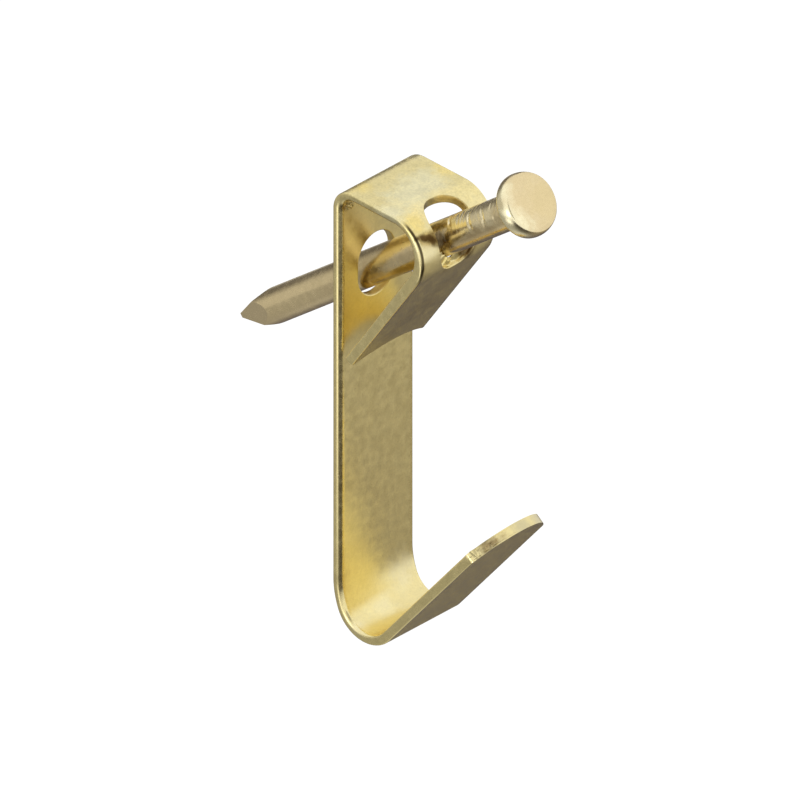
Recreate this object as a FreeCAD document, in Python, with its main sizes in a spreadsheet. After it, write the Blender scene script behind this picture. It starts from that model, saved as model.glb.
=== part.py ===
import FreeCAD, Part
import math
import os
import Sketcher

# Picture hook: one folded strip of sheet metal and the loose nail that passes through it.
# Millimetres and degrees. The wall is the plane Y = 0, the hook faces -Y and +Z is up.
# The origin is the point where the nail's axis enters the wall.

SIZES = [
    ("strip_width", 8.2, "width of the strip"),
    ("sheet", 0.8, "thickness of the sheet"),
    ("edge_round", 0.14, "rounding of the strip's long edges"),
    ("top_bend", 1.0, "inner radius of the bend at the top of the plate"),
    ("tab_length", 4.18, "straight length of the top tab"),
    ("tab_slope", 4.65, "fall of the top tab towards the front"),
    ("front_bend", 2.43, "inner radius of the bend over the nail"),
    ("axis_rise", 0.795, "height of the front bend's centre above the nail's axis"),
    ("leg_angle", 35.3, "lean of the returning leg from the vertical"),
    ("leg_gap", 0.5, "gap between the leg's tips and the plate"),
    ("notch_depth", 1.05, "depth of the hollow in the leg's end"),
    ("horn_width", 0.3, "width of the horns beside the hollow"),
    ("drop", 24.85, "height of the nail's entry above the start of the lower bend"),
    ("lead_bend", 6.0, "inner radius where the plate starts to curl"),
    ("lead_sweep", 22.2, "angle of that first curl"),
    ("cradle_bend", 2.27, "inner radius of the cradle for the wire"),
    ("lip_angle", 40.7, "lean of the lip from the vertical"),
    ("lip_length", 15.2, "straight length of the lip to its crown"),
    ("lip_flatness", 0.4, "how far the lip's end radius exceeds half the width"),
    ("nail_diameter", 2.8, "diameter of the nail's shank"),
    ("nail_angle", 35.3, "rise of the nail from the wall's normal"),
    ("nail_length", 35.75, "length of the nail over all"),
    ("nail_standoff", 20.25, "length of the nail in front of the wall"),
    ("head_diameter", 5.1, "diameter of the nail's head"),
    ("head_thickness", 1.3, "thickness of the nail's head"),
    ("rim_round", 0.3, "rounding of the head's rim"),
    ("neck_width", 0.2, "widening of the shank under the head"),
    ("neck_length", 0.5, "length of that widening"),
    ("point_length", 4.3, "length of the upper and side flats of the nail's point"),
    ("heel_length", 3.3, "length of the point's lower flat"),
    ("point_flat", 0.3, "width of the blunt tip"),
    ("point_lift", 0.3, "how far the blunt tip sits above the nail's axis"),
    ("slot_play", 1.3, "sideways play of the nail in both slots"),
    ("slot_headroom", 1.11, "room above the nail in the plate's slot"),
    ("seat_clearance", 0.12, "gap between the nail and the bottom of the plate's slot"),
    ("slot_lead", 0.1, "start of the front slot past the tab's end"),
    ("slot_tail", 0.05, "end of the front slot short of the leg's start"),
    ("cut_margin", 0.6, "overrun of a cut into free air"),
]

START, END, CENTRE = range(1, 4)
ORIGIN, UPRIGHT_AXIS = range(-1, -3, -1)

doc = FreeCAD.newDocument("picture_hook")
sheet = doc.addObject("Spreadsheet::Sheet", "sizes")
for row, (alias, value, note) in enumerate(SIZES, start=1):
    sheet.set(f"A{row}", note)
    sheet.set(f"B{row}", str(value))
    sheet.setAlias(f"B{row}", alias)
doc.recompute()

size = {alias: value for alias, value, note in SIZES}

SLOT_HALF = "(sizes.nail_diameter + sizes.slot_play) / 2"
NAIL_HALF_HEIGHT = "sizes.nail_diameter / 2 / cos(sizes.nail_angle * 1 deg)"
SLOT_TOP = f"(sizes.sheet * tan(sizes.nail_angle * 1 deg) + {NAIL_HALF_HEIGHT} + sizes.slot_headroom)"
SLOT_DEPTH_BELOW = "((sizes.nail_diameter / 2 + sizes.seat_clearance) / cos(sizes.nail_angle * 1 deg))"
FRONT_OUTER = "(sizes.front_bend + sizes.sheet)"
LIP_RADIUS = "(sizes.strip_width / 2 + sizes.lip_flatness)"


def point(x, y):
    return FreeCAD.Vector(x, y, 0)


def around(centre, radius, degrees):
    angle = math.radians(degrees)
    return point(centre.x + radius * math.cos(angle), centre.y + radius * math.sin(angle))


def along(start, length, degrees):
    return around(start, length, degrees)


def origin_feature(body, role):
    return next(item for item in body.Origin.OriginFeatures if item.Role == role)


def new_sketch(body, name, plane):
    sketch = body.newObject("Sketcher::SketchObject", name)
    sketch.AttachmentSupport = [(origin_feature(body, plane), "")]
    sketch.MapMode = "FlatFace"
    return sketch


def add_line(sketch, start, end):
    return sketch.addGeometry(Part.LineSegment(start, end), False)


def add_arc(sketch, centre, radius, first, last):
    circle = Part.Circle(centre, FreeCAD.Vector(0, 0, 1), radius)
    return sketch.addGeometry(Part.ArcOfCircle(circle, math.radians(first), math.radians(last)), False)


def add_polygon(sketch, corners):
    count = len(corners)
    lines = [add_line(sketch, corners[i], corners[(i + 1) % count]) for i in range(count)]
    for i in range(count):
        bind(sketch, "Coincident", lines[i], END, lines[(i + 1) % count], START)
    return lines


def bind(sketch, kind, *where):
    return sketch.addConstraint(Sketcher.Constraint(kind, *where))


def drive(sketch, name, expression, kind, *where):
    index = bind(sketch, kind, *where)
    sketch.renameConstraint(index, name)
    sketch.setExpression(f"Constraints.{name}", expression)


def measure(sketch, name, kind, *where):
    index = bind(sketch, kind, *where)
    sketch.setDriving(index, False)
    sketch.renameConstraint(index, name)


def tilt(sketch, place, degrees):
    base = FreeCAD.Vector(0, 0, 0)
    turn = FreeCAD.Rotation(FreeCAD.Vector(1, 0, 0), size[degrees])
    sketch.AttachmentOffset = FreeCAD.Placement(base, turn)
    sketch.setExpression("AttachmentOffset.Rotation.Angle", f"sizes.{degrees} * 1 deg")
    for axis, expression in place.items():
        sketch.setExpression(f"AttachmentOffset.Base.{axis}", expression)


def cut(body, sketch, name, length, forward):
    pocket = body.newObject("PartDesign::Pocket", name)
    pocket.Profile = sketch
    pocket.Type = "Length"
    pocket.Reversed = forward
    pocket.setExpression("Length", length)
    doc.recompute()
    return pocket


# The folded strip, drawn from the side: Y across, Z up.
strip = doc.addObject("PartDesign::Body", "hook_strip")
strip.Label = "hook_strip"
side = new_sketch(strip, "side_profile", "YZ_Plane")

lean = size["tab_slope"]
normal_angle = 90 + lean
front_across = -(
    size["sheet"]
    + size["top_bend"]
    + (size["top_bend"] - size["front_bend"]) * math.sin(math.radians(lean))
    + size["tab_length"] * math.cos(math.radians(lean))
)
nail_slope = math.radians(size["nail_angle"])
front_up = -front_across * math.tan(nail_slope) + size["axis_rise"] / math.cos(nail_slope)
front_centre = point(front_across, front_up)
top_centre = along(front_centre, size["front_bend"] - size["top_bend"], normal_angle)
top_centre = along(top_centre, size["tab_length"], lean)
lead_centre = point(-(size["sheet"] + size["lead_bend"]), -size["drop"])
cradle_centre = along(lead_centre, size["lead_bend"] - size["cradle_bend"], -size["lead_sweep"])
leg_turn = 180 + size["leg_angle"]
lip_turn = 180 + size["lip_angle"]
leg_heading = 90 + size["leg_angle"]
lip_heading = 90 + size["lip_angle"]
inner_leg_start = around(front_centre, size["front_bend"], leg_turn)
leg_run = -(size["sheet"] + size["leg_gap"]) - inner_leg_start.x
leg_length = leg_run / math.sin(math.radians(size["leg_angle"]))


def fold_chain(skin):
    """One face of the sheet, from the leg's tip to the lip's end; skin 0 is the inner face."""
    front_radius = size["front_bend"] + skin
    top_radius = size["top_bend"] + skin
    lead_radius = size["lead_bend"] + skin
    cradle_radius = size["cradle_bend"] + skin
    leg_start = around(front_centre, front_radius, leg_turn)
    leg_tip = along(leg_start, -leg_length, leg_heading)
    tab_front = around(front_centre, front_radius, normal_angle)
    tab_back = around(top_centre, top_radius, normal_angle)
    plate_top = around(top_centre, top_radius, 0)
    plate_foot = around(lead_centre, lead_radius, 0)
    lip_start = around(cradle_centre, cradle_radius, lip_turn)
    lip_end = along(lip_start, size["lip_length"], lip_heading)
    chain = {
        "leg": add_line(side, leg_tip, leg_start),
        "front": add_arc(side, front_centre, front_radius, normal_angle, leg_turn),
        "tab": add_line(side, tab_front, tab_back),
        "top": add_arc(side, top_centre, top_radius, 0, normal_angle),
        "plate": add_line(side, plate_top, plate_foot),
        "lead": add_arc(side, lead_centre, lead_radius, -size["lead_sweep"], 0),
        "cradle": add_arc(side, cradle_centre, cradle_radius, lip_turn, 360 - size["lead_sweep"]),
        "lip": add_line(side, lip_start, lip_end),
    }
    bind(side, "Tangent", chain["leg"], END, chain["front"], END)
    bind(side, "Tangent", chain["front"], START, chain["tab"], START)
    bind(side, "Tangent", chain["tab"], END, chain["top"], END)
    bind(side, "Tangent", chain["top"], START, chain["plate"], START)
    bind(side, "Tangent", chain["plate"], END, chain["lead"], END)
    bind(side, "Tangent", chain["lead"], START, chain["cradle"], END)
    bind(side, "Tangent", chain["cradle"], START, chain["lip"], START)
    return chain


outer = fold_chain(size["sheet"])
inner = fold_chain(0.0)
for bend in ("front", "top", "lead", "cradle"):
    bind(side, "Coincident", outer[bend], CENTRE, inner[bend], CENTRE)
for straight in ("leg", "tab", "lip"):
    bind(side, "Parallel", outer[straight], inner[straight])
bind(side, "Vertical", outer["plate"])
bind(side, "Vertical", inner["plate"])
for straight, free_end in (("leg", START), ("lip", END)):
    cap_from = side.getPoint(outer[straight], free_end)
    cap_to = side.getPoint(inner[straight], free_end)
    cap = add_line(side, cap_from, cap_to)
    bind(side, "Coincident", cap, START, outer[straight], free_end)
    bind(side, "Coincident", cap, END, inner[straight], free_end)
    bind(side, "Perpendicular", cap, outer[straight])

nail_axis = add_line(side, point(0, 0), along(point(0, 0), size["nail_standoff"], 180 - size["nail_angle"]))
side.toggleConstruction(nail_axis)
bind(side, "Coincident", nail_axis, START, ORIGIN, START)
bind(side, "PointOnObject", outer["plate"], START, UPRIGHT_AXIS)
drive(side, "axis_angle", "(180 - sizes.nail_angle) * 1 deg", "Angle", nail_axis,
      math.radians(180 - size["nail_angle"]))
drive(side, "axis_length", "sizes.nail_standoff", "Distance", nail_axis, size["nail_standoff"])
drive(side, "axis_rise", "sizes.axis_rise", "Distance", inner["front"], CENTRE, nail_axis, size["axis_rise"])
drive(side, "sheet", "sizes.sheet", "DistanceX", inner["plate"], START, outer["plate"], START, size["sheet"])
drive(side, "top_bend", "sizes.top_bend", "Radius", inner["top"], size["top_bend"])
drive(side, "tab_length", "sizes.tab_length", "Distance", outer["tab"], size["tab_length"])
drive(side, "tab_slope", "sizes.tab_slope * 1 deg", "Angle", outer["tab"], math.radians(lean))
drive(side, "front_bend", "sizes.front_bend", "Radius", inner["front"], size["front_bend"])
drive(side, "leg_angle", "(90 + sizes.leg_angle) * 1 deg", "Angle", outer["leg"], math.radians(leg_heading))
drive(side, "leg_gap", "sizes.sheet + sizes.leg_gap", "DistanceX", inner["leg"], START, ORIGIN, START,
      size["sheet"] + size["leg_gap"])
drive(side, "drop", "sizes.drop", "DistanceY", inner["lead"], CENTRE, ORIGIN, START, size["drop"])
drive(side, "lead_bend", "sizes.lead_bend", "Radius", inner["lead"], size["lead_bend"])
drive(side, "lead_sweep", "sizes.lead_sweep * 1 deg", "Angle", inner["lead"], math.radians(size["lead_sweep"]))
drive(side, "cradle_bend", "sizes.cradle_bend", "Radius", inner["cradle"], size["cradle_bend"])
drive(side, "lip_angle", "(90 + sizes.lip_angle) * 1 deg", "Angle", outer["lip"], math.radians(lip_heading))
drive(side, "lip_length", "sizes.lip_length", "Distance", outer["lip"], size["lip_length"])

leg_tip = side.getPoint(outer["leg"], START)
lip_end = side.getPoint(outer["lip"], END)
measure(side, "front_forward", "DistanceX", inner["front"], CENTRE, ORIGIN, START, -front_centre.x)
measure(side, "front_up", "DistanceY", ORIGIN, START, inner["front"], CENTRE, front_centre.y)
measure(side, "leg_tip_forward", "DistanceX", outer["leg"], START, ORIGIN, START, -leg_tip.x)
measure(side, "leg_tip_down", "DistanceY", outer["leg"], START, ORIGIN, START, -leg_tip.y)
measure(side, "lip_end_forward", "DistanceX", outer["lip"], END, ORIGIN, START, -lip_end.x)
measure(side, "lip_end_down", "DistanceY", outer["lip"], END, ORIGIN, START, -lip_end.y)
doc.recompute()

fold = strip.newObject("PartDesign::Pad", "folded_sheet")
fold.Profile = side
fold.SideType = "Symmetric"
fold.setExpression("Length", "sizes.strip_width")
doc.recompute()

# The slot in the plate: a slot with round ends, with the nail resting at its bottom.
slot_half = (size["nail_diameter"] + size["slot_play"]) / 2
half_height = size["nail_diameter"] / 2 / math.cos(nail_slope)
slot_top = size["sheet"] * math.tan(nail_slope) + half_height + size["slot_headroom"]
slot_below = half_height + size["seat_clearance"] / math.cos(nail_slope)
plate_slot = new_sketch(strip, "plate_slot_outline", "XZ_Plane")
upper = point(0, slot_top - slot_half)
lower = point(0, slot_half - slot_below)
upper_arc = add_arc(plate_slot, upper, slot_half, 0, 180)
lower_arc = add_arc(plate_slot, lower, slot_half, 180, 360)
left_side = add_line(plate_slot, around(upper, slot_half, 180), around(lower, slot_half, 180))
right_side = add_line(plate_slot, around(lower, slot_half, 0), around(upper, slot_half, 0))
bind(plate_slot, "Tangent", upper_arc, END, left_side, START)
bind(plate_slot, "Tangent", left_side, END, lower_arc, START)
bind(plate_slot, "Tangent", lower_arc, END, right_side, START)
bind(plate_slot, "Tangent", right_side, END, upper_arc, START)
bind(plate_slot, "Vertical", right_side)
bind(plate_slot, "PointOnObject", upper_arc, CENTRE, UPRIGHT_AXIS)
drive(plate_slot, "half_width", SLOT_HALF, "Radius", upper_arc, slot_half)
drive(plate_slot, "upper_centre", f"{SLOT_TOP} - {SLOT_HALF}", "DistanceY", ORIGIN, START, upper_arc, CENTRE,
      upper.y)
drive(plate_slot, "centres", f"{SLOT_TOP} + {SLOT_DEPTH_BELOW} - 2 * {SLOT_HALF}", "DistanceY",
      lower_arc, CENTRE, upper_arc, CENTRE, upper.y - lower.y)
doc.recompute()
cut(strip, plate_slot, "plate_slot", "sizes.sheet + sizes.leg_gap / 2", True)

# The slot around the front bend: its upper end is square to the tab, its lower end to the leg.
# Both cuts start short of the sheet, on planes that let them meet halfway around the bend.
FRONT_FORWARD = "side_profile.Constraints.front_forward"
FRONT_UP = "side_profile.Constraints.front_up"
HALF_BEND = "((90 + sizes.leg_angle - sizes.tab_slope) / 2 * 1 deg)"
LEVEL = f"sizes.front_bend * 1 mm * cos({HALF_BEND})"
overrun = size["front_bend"] + size["sheet"] + size["cut_margin"]


def cut_slot_end(name, plane, place, turn, end_gap, heading):
    """One round slot end; heading 1 opens the cut upwards in its plane, -1 downwards."""
    outline = new_sketch(strip, f"{name}_outline", plane)
    tilt(outline, place, turn)
    reach = size[end_gap] + slot_half
    centre = point(0, heading * reach)
    first = 180 if heading > 0 else 0
    end_arc = add_arc(outline, centre, slot_half, first, first + 180)
    near_side = add_line(outline, around(centre, slot_half, first + 180),
                         point(heading * slot_half, heading * overrun))
    mouth = add_line(outline, point(heading * slot_half, heading * overrun),
                     point(-heading * slot_half, heading * overrun))
    far_side = add_line(outline, point(-heading * slot_half, heading * overrun),
                        around(centre, slot_half, first))
    bind(outline, "Tangent", end_arc, END, near_side, START)
    bind(outline, "Coincident", near_side, END, mouth, START)
    bind(outline, "Coincident", mouth, END, far_side, START)
    bind(outline, "Tangent", far_side, END, end_arc, START)
    bind(outline, "Vertical", near_side)
    bind(outline, "Horizontal", mouth)
    bind(outline, "PointOnObject", end_arc, CENTRE, UPRIGHT_AXIS)
    drive(outline, "half_width", SLOT_HALF, "Radius", end_arc, slot_half)
    ends = [(ORIGIN, START), (end_arc, CENTRE)][::heading]
    drive(outline, "end_centre", f"sizes.{end_gap} + {SLOT_HALF}", "DistanceY", *ends[0], *ends[1], reach)
    ends = [(ORIGIN, START), (mouth, START)][::heading]
    drive(outline, "overrun", f"{FRONT_OUTER} + sizes.cut_margin", "DistanceY", *ends[0], *ends[1], overrun)
    doc.recompute()
    cut(strip, outline, name, f"{FRONT_OUTER} + sizes.cut_margin", True)


cut_slot_end("upper_slot", "XY_Plane", {
    "y": f"-{FRONT_FORWARD} - {LEVEL} * sin(sizes.tab_slope * 1 deg)",
    "z": f"{FRONT_UP} + {LEVEL} * cos(sizes.tab_slope * 1 deg)",
}, "tab_slope", "slot_lead", -1)
cut_slot_end("lower_slot", "XZ_Plane", {
    "y": f"{FRONT_UP} - {LEVEL} * sin(sizes.leg_angle * 1 deg)",
    "z": f"{FRONT_FORWARD} + {LEVEL} * cos(sizes.leg_angle * 1 deg)",
}, "leg_angle", "slot_tail", 1)

# The lip's crowned end.
lip_radius = size["strip_width"] / 2 + size["lip_flatness"]
lip_cut = new_sketch(strip, "lip_end_outline", "XZ_Plane")
tilt(lip_cut, {"y": "-side_profile.Constraints.lip_end_down", "z": "side_profile.Constraints.lip_end_forward"},
     "lip_angle")
crown = add_arc(lip_cut, point(0, -lip_radius), lip_radius, 0, 180)
frame = [
    add_line(lip_cut, point(-lip_radius, -lip_radius), point(-lip_radius, size["cut_margin"])),
    add_line(lip_cut, point(-lip_radius, size["cut_margin"]), point(lip_radius, size["cut_margin"])),
    add_line(lip_cut, point(lip_radius, size["cut_margin"]), point(lip_radius, -lip_radius)),
]
bind(lip_cut, "Tangent", crown, END, frame[0], START)
bind(lip_cut, "Coincident", frame[0], END, frame[1], START)
bind(lip_cut, "Coincident", frame[1], END, frame[2], START)
bind(lip_cut, "Tangent", frame[2], END, crown, START)
bind(lip_cut, "Vertical", frame[0])
bind(lip_cut, "Horizontal", frame[1])
bind(lip_cut, "PointOnObject", crown, CENTRE, UPRIGHT_AXIS)
drive(lip_cut, "crown", LIP_RADIUS, "Radius", crown, lip_radius)
drive(lip_cut, "centre_down", LIP_RADIUS, "DistanceY", crown, CENTRE, ORIGIN, START, lip_radius)
drive(lip_cut, "overrun", "sizes.cut_margin", "DistanceY", ORIGIN, START, frame[1], START, size["cut_margin"])
doc.recompute()
cut(strip, lip_cut, "lip_end", "2 * sizes.sheet", False)

# The leg's hollow end with a narrow horn at each side.
notch_half = size["strip_width"] / 2 - size["horn_width"]
notch_radius = (notch_half ** 2 + size["notch_depth"] ** 2) / (2 * size["notch_depth"])
notch_angle = math.degrees(math.asin(notch_half / notch_radius))
leg_cut = new_sketch(strip, "leg_end_outline", "XZ_Plane")
tilt(leg_cut, {"y": "-side_profile.Constraints.leg_tip_down", "z": "side_profile.Constraints.leg_tip_forward"},
     "leg_angle")
hollow_centre = point(0, size["notch_depth"] - notch_radius)
hollow = add_arc(leg_cut, hollow_centre, notch_radius, 90 - notch_angle, 90 + notch_angle)
chord = add_line(leg_cut, point(-notch_half, 0), point(notch_half, 0))
bind(leg_cut, "Coincident", hollow, END, chord, START)
bind(leg_cut, "Coincident", chord, END, hollow, START)
bind(leg_cut, "Symmetric", chord, START, chord, END, ORIGIN, START)
bind(leg_cut, "Horizontal", chord)
drive(leg_cut, "chord", "sizes.strip_width - 2 * sizes.horn_width", "Distance", chord, 2 * notch_half)
drive(leg_cut, "hollow", "((sizes.strip_width / 2 - sizes.horn_width) ^ 2 + sizes.notch_depth ^ 2)"
      " / (2 * sizes.notch_depth)", "Radius", hollow, notch_radius)
doc.recompute()
leg_end = cut(strip, leg_cut, "leg_end", "sizes.sheet + sizes.leg_gap / 2", False)


def long_side_edges(shape):
    """The edges that run along the strip on its two cut sides."""
    names = []
    for number, edge in enumerate(shape.Edges, start=1):
        middle = edge.valueAt((edge.FirstParameter + edge.LastParameter) / 2)
        corners = [vertex.Point for vertex in edge.Vertexes]
        on_side = all(abs(abs(spot.x) - size["strip_width"] / 2) < 1e-6 for spot in corners + [middle])
        through_sheet = abs(edge.Length - size["sheet"]) < 0.02 * size["sheet"]
        if on_side and not through_sheet:
            names.append(f"Edge{number}")
    return names


rounding = strip.newObject("PartDesign::Fillet", "rounded_edges")
rounding.Base = (leg_end, long_side_edges(leg_end.Shape))
rounding.setExpression("Radius", "sizes.edge_round")
strip.Tip = rounding
doc.recompute()

# The nail, turned about its own axis with the head up and the wall at zero.
nail = doc.addObject("PartDesign::Body", "nail")
nail.Label = "nail"
half = new_sketch(nail, "half_section", "XZ_Plane")
shank = size["nail_diameter"] / 2
head = size["head_diameter"] / 2
tip_level = size["nail_standoff"] - size["nail_length"]
under_level = size["nail_standoff"] - size["head_thickness"]
outline = add_polygon(half, [
    point(0, tip_level),
    point(shank, tip_level),
    point(shank, under_level - size["neck_length"]),
    point(shank + size["neck_width"], under_level),
    point(head, under_level),
    point(head, size["nail_standoff"]),
    point(0, size["nail_standoff"]),
])
tip, body_side, neck, underside, rim, face, core = outline
for level in (tip, underside, face):
    bind(half, "Horizontal", level)
for upright in (body_side, rim, core):
    bind(half, "Vertical", upright)
bind(half, "PointOnObject", tip, START, UPRIGHT_AXIS)
drive(half, "shank", "sizes.nail_diameter / 2", "Distance", tip, shank)
drive(half, "head", "sizes.head_diameter / 2", "Distance", face, head)
drive(half, "length", "sizes.nail_length", "Distance", core, size["nail_length"])
drive(half, "thickness", "sizes.head_thickness", "Distance", rim, size["head_thickness"])
drive(half, "standoff", "sizes.nail_standoff", "DistanceY", ORIGIN, START, face, START, size["nail_standoff"])
drive(half, "neck_width", "sizes.neck_width", "DistanceX", neck, START, neck, END, size["neck_width"])
drive(half, "neck_length", "sizes.neck_length", "DistanceY", neck, START, neck, END, size["neck_length"])
doc.recompute()

turned = nail.newObject("PartDesign::Revolution", "turned_nail")
turned.Profile = half
turned.ReferenceAxis = (half, ["V_Axis"])
turned.Angle = 360
doc.recompute()


def rim_edges(shape):
    names = []
    for number, edge in enumerate(shape.Edges, start=1):
        if isinstance(edge.Curve, Part.Circle) and abs(edge.Curve.Radius - head) < 1e-6:
            names.append(f"Edge{number}")
    return names


rounded_head = nail.newObject("PartDesign::Fillet", "rounded_head")
rounded_head.Base = (turned, rim_edges(turned.Shape))
rounded_head.setExpression("Radius", "sizes.rim_round")
doc.recompute()

# The point: two side flats, a long flat above and a short one below, as left by the cutter.
blunt = size["point_flat"] / 2
free = shank + size["cut_margin"]


def cut_flat(name, plane, side, lift, length):
    """A flat of the point; side 1 lies on the plane's first axis, -1 opposite to it."""
    edge = f"(sizes.point_flat / 2 + {side} * {lift} * sizes.point_lift)"
    near = blunt + side * lift * size["point_lift"]
    sketch = new_sketch(nail, f"{name}_outline", plane)
    base_line, free_line, top_line, flat_line = add_polygon(sketch, [
        point(side * near, tip_level),
        point(side * free, tip_level),
        point(side * free, tip_level + size[length]),
        point(side * shank, tip_level + size[length]),
    ])
    bind(sketch, "Horizontal", base_line)
    bind(sketch, "Vertical", free_line)
    bind(sketch, "Horizontal", top_line)
    drive(sketch, "tip_level", "sizes.nail_length - sizes.nail_standoff", "DistanceY", base_line, START,
          ORIGIN, START, -tip_level)
    drive(sketch, "flat_length", f"sizes.{length}", "Distance", free_line, size[length])
    drive(sketch, "base", f"sizes.nail_diameter / 2 + sizes.cut_margin - {edge}", "Distance", base_line,
          free - near)
    drive(sketch, "margin", "sizes.cut_margin", "Distance", top_line, size["cut_margin"])
    ends = [(ORIGIN, START), (flat_line, START)][::side]
    drive(sketch, "shank", "sizes.nail_diameter / 2", "DistanceX", *ends[0], *ends[1], shank)
    doc.recompute()
    flat = nail.newObject("PartDesign::Pocket", name)
    flat.Profile = sketch
    flat.Type = "Length"
    flat.SideType = "Symmetric"
    flat.setExpression("Length", "2 * sizes.nail_diameter")
    doc.recompute()
    return flat


cut_flat("upper_flat", "YZ_Plane", 1, 1, "point_length")
cut_flat("lower_flat", "YZ_Plane", -1, 1, "heel_length")
side_flat = cut_flat("side_flat", "XZ_Plane", 1, 0, "point_length")
side_flats = nail.newObject("PartDesign::PolarPattern", "side_flats")
side_flats.Originals = [side_flat]
side_flats.Axis = (origin_feature(nail, "Z_Axis"), [""])
side_flats.Angle = 360
side_flats.Occurrences = 2
nail.Tip = side_flats
doc.recompute()

upright = 90 - size["nail_angle"]
nail.Placement = FreeCAD.Placement(FreeCAD.Vector(0, 0, 0), FreeCAD.Rotation(FreeCAD.Vector(1, 0, 0), upright))
nail.setExpression("Placement.Rotation.Angle", "(90 - sizes.nail_angle) * 1 deg")
doc.recompute()

os.makedirs("parts", exist_ok=True)
for item in doc.Objects:
    if "Invalid" in item.State or "Error" in item.State:
        raise RuntimeError(f"{item.Name} did not rebuild")
for piece in (strip, nail):
    if piece.Shape.isNull() or not piece.Shape.isValid():
        raise RuntimeError(f"{piece.Label} has no valid shape")
    piece.Shape.exportStep(f"parts/{piece.Label}.step")
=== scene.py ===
import math

import bmesh
import bpy
from mathutils import Matrix, Vector, noise


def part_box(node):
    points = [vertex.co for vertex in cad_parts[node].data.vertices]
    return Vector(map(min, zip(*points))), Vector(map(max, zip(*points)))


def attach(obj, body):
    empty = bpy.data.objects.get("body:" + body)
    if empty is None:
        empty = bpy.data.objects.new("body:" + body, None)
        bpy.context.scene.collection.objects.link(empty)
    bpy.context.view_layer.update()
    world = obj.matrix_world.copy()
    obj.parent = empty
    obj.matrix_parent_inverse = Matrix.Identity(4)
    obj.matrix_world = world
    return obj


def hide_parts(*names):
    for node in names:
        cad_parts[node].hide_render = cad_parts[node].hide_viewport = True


bl_info = {
    "name": "Picture hook",
    "version": (1, 0, 0),
    "blender": (4, 5, 0),
    "location": "View3D > Sidebar > Picture hook",
    "description": "Models a folded brass picture hook with its nail, and a small studio around it",
    "category": "Add Mesh",
}

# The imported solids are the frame: +Z up, the wall is Y = 0 and the hook faces -Y. Metres throughout.
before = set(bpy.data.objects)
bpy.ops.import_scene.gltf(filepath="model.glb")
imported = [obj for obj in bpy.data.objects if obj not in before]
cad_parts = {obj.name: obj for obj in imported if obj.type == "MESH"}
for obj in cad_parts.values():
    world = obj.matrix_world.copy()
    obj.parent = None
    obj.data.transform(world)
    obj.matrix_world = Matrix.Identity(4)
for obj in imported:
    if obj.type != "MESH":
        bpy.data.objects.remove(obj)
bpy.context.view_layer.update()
STRIP_LOW, STRIP_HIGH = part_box("hook_strip")
MM = 0.001
WELD = 1e-7

# Angles between two faces above which their edge is rounded, shaded crisp or, on the point, creased.
ROUNDED_ABOVE = math.radians(40)
CRISP_ABOVE = math.radians(38)
CREASED_ABOVE = math.radians(6)

# How finely the shapes are divided.
BEND_STEP = math.radians(3)
CROWN_SIDES = 180
HOLLOW_SIDES = 240
SLOT_SIDES = 96
NAIL_SIDES = 128
CARD_SIDES = 64
BURR_CUTS = 40
WRINKLE_CUTS = 24


def length(title, note, millimetres):
    return bpy.props.FloatProperty(
        name=title, description=note, default=millimetres * MM,
        unit="LENGTH", subtype="DISTANCE", precision=5,
    )


def angle(title, note, degrees):
    return bpy.props.FloatProperty(
        name=title, description=note, default=math.radians(degrees), unit="ROTATION", subtype="ANGLE"
    )


def colour(title, note, red, green, blue):
    return bpy.props.FloatVectorProperty(
        name=title, description=note, default=(red, green, blue, 1.0),
        size=4, min=0.0, max=1.0, subtype="COLOR",
    )


def number(title, note, value):
    return bpy.props.FloatProperty(name=title, description=note, default=value, min=0.0)


class StripSizes(bpy.types.PropertyGroup):
    """Sizes of the folded strip, along the sheet as it is bent."""

    width: length("Width", "Width of the strip", (STRIP_HIGH.x - STRIP_LOW.x) / MM)
    sheet: length("Sheet", "Thickness of the sheet", 0.8)
    inner_round: length("Inner edge", "Rolled left edge on the inner side, widest on the plate", 0.5)
    outer_round: length("Outer edge", "Rolled left edge on the outer side of the blank", 0.28)
    bend_round: length("Bend edge", "Rolled left edge on the outer side of the front bend", 0.45)
    corner_round: length("Corner rounding", "Rounding of the other long edges", 0.15)
    edge_swell: length("Edge swell", "Swelling of the left edge in the front bend and the leg", 0.13)
    slot_round: length("Slot rounding", "Rounding of the slots' rims", 0.1)
    top_bend: length("Top bend", "Inner radius of the bend at the top of the plate", 1.0)
    tab_length: length("Tab", "Straight length of the top tab", 4.18)
    tab_slope: angle("Tab slope", "Fall of the top tab towards the front", 4.65)
    front_bend: length("Front bend", "Inner radius of the bend over the nail", 2.43)
    leg_angle: angle("Leg lean", "Lean of the returning leg from the vertical", 35.3)
    leg_gap: length("Leg gap", "Gap between the leg's tips and the plate", 0.5)
    hollow_depth: length("Hollow", "Depth of the hollow in the leg's end", 1.05)
    horn_width: length("Horns", "Width of the horns beside the hollow", 0.3)
    lead_bend: length("Lead bend", "Inner radius where the plate starts to curl", 6.0)
    lead_sweep: angle("Lead sweep", "Angle of that first curl", 22.2)
    cradle_bend: length("Cradle bend", "Inner radius of the cradle for the wire", 2.27)
    lip_angle: angle("Lip lean", "Lean of the lip from the vertical", 40.7)
    lip_length: length("Lip", "Straight length of the lip to its crown", 15.2)
    lip_crown: length("Lip crown", "Radius of the lip's crowned end", 4.5)
    slot_width: length("Slot width", "Width of both slots", 4.1)
    plate_slot_top: length("Plate slot top", "Top of the plate's slot above the nail's entry", 3.392)
    plate_slot_foot: length("Plate slot foot", "Foot of the plate's slot below the nail's entry", 1.862)
    slot_lead: length("Slot lead", "Start of the front slot past the tab's end", 0.1)
    slot_tail: length("Slot tail", "End of the front slot short of the leg's start", 0.05)


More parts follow.
